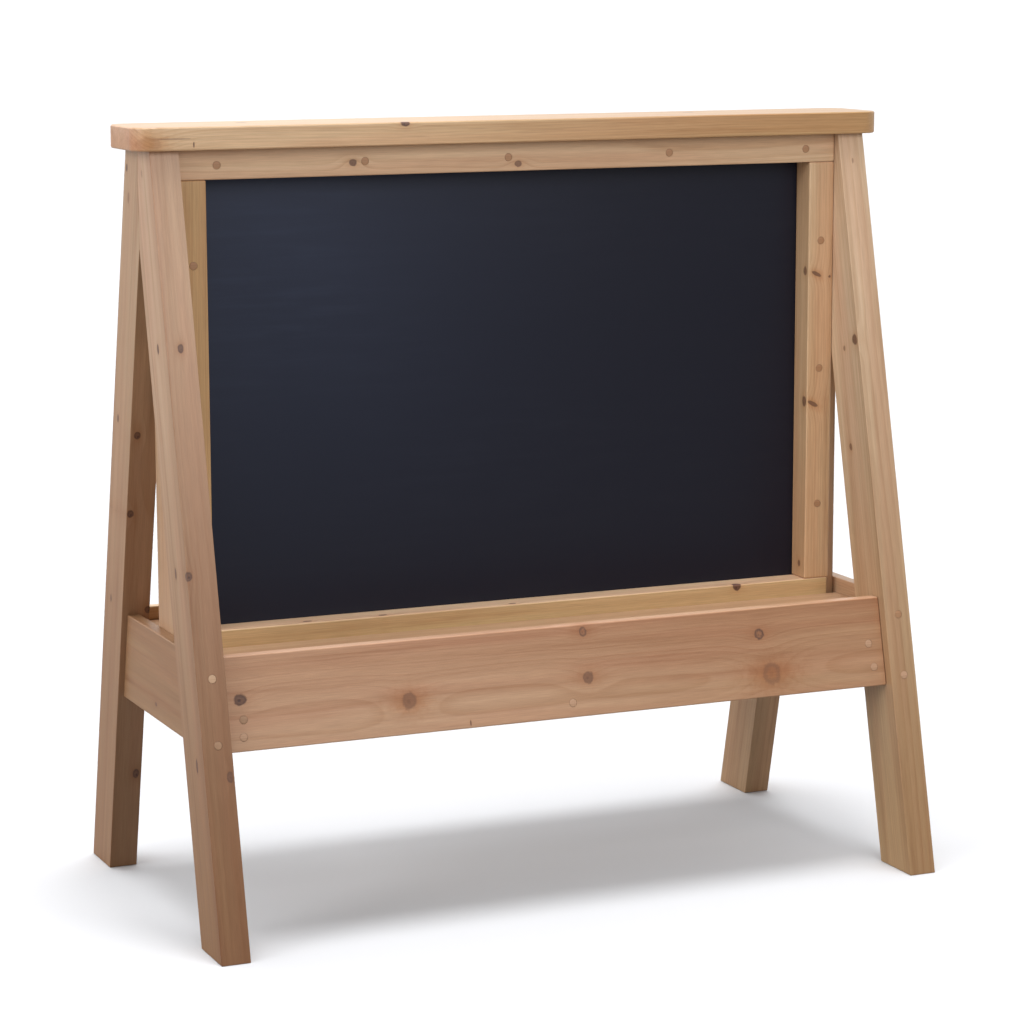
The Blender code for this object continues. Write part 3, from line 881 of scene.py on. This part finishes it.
def add_cross_boards():
    """End boards and bearers: their ends are cut to the lean of the legs and of the aprons."""
    nodes = [f"end_board_{end}" for end in ENDS]
    nodes += [f"tray_bearer_{spot}" for spot in ("left", "centre", "right")]
    for seed, node in enumerate(nodes, 81):
        low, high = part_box(node)
        top_y = high.y - LEAN * (high.z - low.z)
        outline = ((-high.y, low.z), (high.y, low.z), (top_y, high.z), (-top_y, high.z))
        corners = [(low.x, y, z) for y, z in outline]
        way = -1 if low.x < 0 else 1
        place = board_axes((low + high) / 2, -way * Y, way * X)
        tone, knots = BATTEN_TONE, ()
        if node.startswith("end_board"):
            tone = LEFT_END_TONE if way < 0 else RIGHT_END_TONE
            knots = (((way * 0.591, 0.006 * way, 0.321), X, 0.0030, 1.5, 0.5, 0.8),)
        add_board(node, place, corners, X * (high.x - low.x), tone, seed, (0.030, -0.050), knots)


def add_battens():
    for end, way in ENDS.items():
        add_square_board(f"centre_batten_{end}", Z, way * X, BATTEN_TONE, 91 + way, (0.050, -0.040))


def add_tray_floors():
    """Each floor has an ear at both ends, past the leg's inner face."""
    for face, side in FACES.items():
        node = f"{face}_tray_floor"
        low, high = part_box(node)
        inner_y = min(abs(low.y), abs(high.y))
        outer_y = max(abs(low.y), abs(high.y))
        ear_y = leg_back_y(high.z) - 2 * GAP
        body_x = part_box("front_apron")[1].x
        half = ((high.x, inner_y), (high.x, ear_y), (body_x, ear_y), (body_x, outer_y))
        outline = [*half, *((-x, y) for x, y in reversed(half))]
        corners = [(x, side * y, low.z) for x, y in outline]
        place = board_axes((low + high) / 2, -side * X, Z)
        draw, pith = Z * (high.z - low.z), (0.03, -0.05)
        add_board(node, place, corners, draw, FLOOR_TONE, 97 + side, pith, arris=FLOOR_ARRIS)


def add_screws():
    """The leg screws lie in their bores under the plugs; the cap screws' heads face down."""
    metal = zinc()
    recess = cross_recess()
    for face, side in FACES.items():
        for end in ENDS:
            nodes = {f"leg_screw_{face}_{end}_{level}": side * Y for level in ("lower", "upper")}
            nodes[f"cap_screw_{face}_{end}"] = -Z
            for node, head_way in nodes.items():
                low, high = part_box(node)
                size = high - low
                middle = (low + high) / 2
                length = abs(size.dot(head_way))
                head = middle + head_way * (length / 2)
                place = head_way.to_track_quat("Z", "Y").to_matrix().to_4x4()
                place.translation = head
                mesh = screw_mesh(node, length)
                cutter = recess.copy()
                cutter.transform(place)
                add_piece(f"{node}_steel", mesh, place, metal, [node], cutter)


# Tones: the earlywood colour at the low and at the high end of each board's own X; on the legs
# the low end, at the floor, is also darker as painted shade


def even(*tone):
    """One colour along the whole board."""
    return tone, tone


def plug_wood(name, tone, seed, pith, spacing):
    return pine(f"plug_wood_{name}", even(*tone), seed, pith, spacing=spacing)


RAIL_TONE = even(0.59, 0.385, 0.228)
STILE_TONE = ((0.60, 0.385, 0.212), (0.60, 0.390, 0.225))
OCHRE_TONE = even(0.54, 0.325, 0.145)
BOTTOM_RAIL_TONE = even(0.60, 0.425, 0.215)
FRONT_APRON_TONE = ((0.510, 0.305, 0.185), (0.440, 0.250, 0.136))
REAR_APRON_TONE = even(0.62, 0.420, 0.230)
CAP_TONE = ((0.66, 0.440, 0.255), (0.48, 0.285, 0.124))
LEFT_END_TONE = even(0.335, 0.184, 0.092)
RIGHT_END_TONE = even(0.56, 0.370, 0.225)
BATTEN_TONE = even(0.50, 0.320, 0.190)
FLOOR_TONE = even(0.56, 0.355, 0.210)
# The legs are tinted much darker at the foot than at the top: painted shade towards the floor, over the
# wood's own colour
FRONT_LEFT_TONE_AND_SHADE = ((0.290, 0.150, 0.070), (0.57, 0.378, 0.245))
FRONT_RIGHT_TONE_AND_SHADE = ((0.445, 0.275, 0.138), (0.70, 0.520, 0.355))
REAR_LEFT_TONE_AND_SHADE = ((0.315, 0.168, 0.086), (0.48, 0.310, 0.185))
REAR_RIGHT_TONE_AND_SHADE = ((0.49, 0.295, 0.158), (0.56, 0.370, 0.220))
# Painted shade: the front legs are tinted darker towards their front face than on their sides
PAINTED_FACE_SHADE = (0.85, 0.80, 0.76)
PLUG_WOODS = {
    "pale": plug_wood("pale", (0.57, 0.385, 0.240), 41, (0.004, 0.010), 0.0022),
    "pink": plug_wood("pink", (0.46, 0.275, 0.166), 43, (0.006, -0.012), 0.0022),
    "warm": plug_wood("warm", (0.40, 0.240, 0.140), 47, (-0.003, 0.020), 0.0025),
    "dark": plug_wood("dark", (0.41, 0.225, 0.115), 45, (0.003, -0.015), 0.0025),
}
# The woods of the lower and the upper plug of a leg
LEG_PLUG_WOODS = {"left": ("warm", "pale"), "right": ("pink", "dark")}


def add_front_left_leg():
    knots = (
        ((-0.579, -leg_face_y(0.880), 0.880), Y, 0.0044, 1.5, 0.8, 1.0),
        ((-0.599, -leg_face_y(0.554), 0.554), (Y + X * 0.6).normalized(), 0.0055, 1.3, 0.4, 1.0),
        ((-0.562, -leg_face_y(0.265), 0.265), Y, 0.0045, 1.9, 0.4, 0.85),
        ((-0.600, -0.020, 1.130), X, 0.0030, 1.8, 0.2, 0.35),
        ((-0.600, -0.083, 0.876), X, 0.0040, 1.8, 0.4, 1.0),
        ((-0.600, -0.147, 0.549), X, 0.0038, 2.2, 0.5, 0.9),
        ((-0.600, -0.232, 0.276), X, 0.0040, 2.6, 0.4, 1.0),
    )
    # The front face is painted darker than the sides: painted shade
    painted_shade = (0.0, 0.030, PAINTED_FACE_SHADE)
    add_leg("front", "left", FRONT_LEFT_TONE_AND_SHADE, 51, (0.040, -0.030), knots, across=painted_shade)


def add_front_right_leg():
    knots = (
        ((0.555, -0.124, 0.838), (X + Y * 0.7).normalized(), 0.0060, 1.4, 0.5, 0.85),
        ((0.555, -0.091, 0.821), X, 0.0030, 1.4, 0.3, 0.6),
        ((0.555, -0.117, 0.663), X, 0.0040, 1.4, 0.5, 0.7),
        ((0.577, -leg_face_y(1.122), 1.122), Y, 0.0016, 3.0, 0.3, 0.45),
    )
    # The front face is painted darker than the sides: painted shade
    painted_shade = (0.0, -0.030, PAINTED_FACE_SHADE)
    add_leg("front", "right", FRONT_RIGHT_TONE_AND_SHADE, 57, (0.050, -0.035), knots, across=painted_shade)


def add_rear_left_leg():
    knots = (
        ((-0.600, 0.055, 1.135), X, 0.0040, 1.5, 0.3, 0.95),
        ((-0.600, 0.050, 1.090), X, 0.0035, 2.4, 0.7, 0.45),
        ((-0.600, 0.131, 0.745), X, 0.0040, 1.5, 0.4, 0.9),
        ((-0.600, 0.193, 0.451), X, 0.0035, 1.8, 0.4, 0.9),
        ((-0.589, 0.070, 0.726), Y, 0.0050, 1.2, 0.4, 1.0),
        ((-0.594, 0.090, 0.600), Y, 0.0050, 1.2, 0.4, 1.0),
        ((-0.558, 0.130, 0.440), Y, 0.0050, 1.2, 0.4, 1.0),
        ((-0.564, 0.200, 0.161), Y, 0.0050, 1.5, 0.4, 1.0),
    )
    add_leg("rear", "left", REAR_LEFT_TONE_AND_SHADE, 63, (0.055, -0.020), knots)


def add_rear_right_leg():
    knots = (
        ((0.600, 0.150, 0.700), X, 0.0070, 1.3, 0.5, 0.9),
        ((0.578, 0.200, 0.400), Y, 0.0060, 1.3, 0.5, 0.9),
    )
    add_leg("rear", "right", REAR_RIGHT_TONE_AND_SHADE, 69, (0.045, -0.025), knots)


# Camera, floor and light

CAMERA_PLACE = Vector((-1.996, -4.576, 1.429))
CAMERA_YAW = 23.632
CAMERA_PITCH = 9.690
CAMERA_ROLL = -0.130
CAMERA_LENS = 111.96
CAMERA_SENSOR = 36.0


def add_object(name, data):
    obj = bpy.data.objects.new(name, data)
    bpy.context.scene.collection.objects.link(obj)
    return obj


def make_camera():
    data = bpy.data.cameras.new("camera")
    data.lens = CAMERA_LENS
    data.sensor_width = CAMERA_SENSOR
    data.clip_end = 200.0
    camera = add_object("camera", data)
    camera.matrix_world = (
        Matrix.Translation(CAMERA_PLACE)
        @ Matrix.Rotation(math.radians(-CAMERA_YAW), 4, "Z")
        @ Matrix.Rotation(math.radians(90 - CAMERA_PITCH), 4, "X")
        @ Matrix.Rotation(math.radians(CAMERA_ROLL), 4, "Z")
    )
    bpy.context.scene.camera = camera


def make_floor():
    """White paper that throws little light back up, as a floor does outside a lit set."""
    shape = bmesh.new()
    bmesh.ops.create_grid(shape, x_segments=8, y_segments=8, size=150.0)
    mesh = bpy.data.meshes.new("studio_floor")
    shape.to_mesh(mesh)
    shape.free()
    floor = add_object("studio_floor", mesh)
    floor.location.z = -0.0004
    material, tree, shader = new_material("studio_floor")
    place = tree.node("ShaderNodeTexCoord", out="Object")
    fleck = tree.noise(tree.scaled(place, 0.8, 0.8, 0.8))
    paper = tree.mix(fleck, (0.730, 0.742, 0.768, 1.0), (0.740, 0.752, 0.778, 1.0))
    seen = tree.node("ShaderNodeLightPath", out="Is Camera Ray")
    tree.link(tree.mix(seen, (0.30, 0.30, 0.30, 1.0), paper), shader["Base Color"])
    shader["Roughness"].default_value = 0.9
    shader["Specular IOR Level"].default_value = 0.05
    mesh.materials.append(material)


def add_sun(name, energy, angle, way):
    data = bpy.data.lights.new(name, "SUN")
    data.energy = energy
    data.angle = math.radians(angle)
    add_object(name, data).rotation_euler = Vector(way).to_track_quat("Z", "Y").to_euler()


def add_softbox(name, energy, size, place, aim):
    data = bpy.data.lights.new(name, "AREA")
    data.energy = energy
    data.size = size
    light = add_object(name, data)
    light.location = place
    light.rotation_euler = (Vector(place) - Vector(aim)).to_track_quat("Z", "Y").to_euler()


def make_light():
    """A white set: brighter behind the easel, a soft light overhead and a key from the left."""
    world = bpy.data.worlds.new("studio")
    bpy.context.scene.world = world
    world.use_nodes = True
    tree = Tree(world.node_tree)
    background = world.node_tree.nodes["Background"].inputs
    background["Color"].default_value = (1.0, 1.0, 1.0, 1.0)
    way = tree.node("ShaderNodeTexCoord", out="Generated")
    parts = tree.tree.nodes.new("ShaderNodeSeparateXYZ")
    tree.link(way, parts.inputs[0])
    behind = tree.smooth(parts.outputs[1], -0.3, 0.6, 0.28, 1.25)
    left = tree.smooth(parts.outputs[0], 0.2, -0.8, 0.0, 0.50)
    seen = tree.node("ShaderNodeLightPath", out="Is Camera Ray")
    right = tree.smooth(parts.outputs[0], 0.6, 1.0, 0.0, 1.2)
    glow = tree.math("MAXIMUM", tree.math("MAXIMUM", behind, left), tree.math("MAXIMUM", right, seen))
    tree.link(glow, background["Strength"])
    add_sun("overhead_light", 1.9, 26.0, (0.0, -0.03, 1.0))
    add_sun("window_light", 1.25, 34.0, (-1.0, -0.25, 0.40))
    add_softbox("key_softbox", 28.0, 1.3, (0.4, -2.5, 2.1), (0.0, 0.0, 0.8))
    bpy.context.scene.view_settings.view_transform = "Standard"


make_camera()
make_floor()
make_light()
add_front_left_leg()
add_front_right_leg()
add_rear_left_leg()
add_rear_right_leg()
add_cap()
add_frames()
add_panel()
add_aprons()
add_cross_boards()
add_battens()
add_tray_floors()
add_screws()
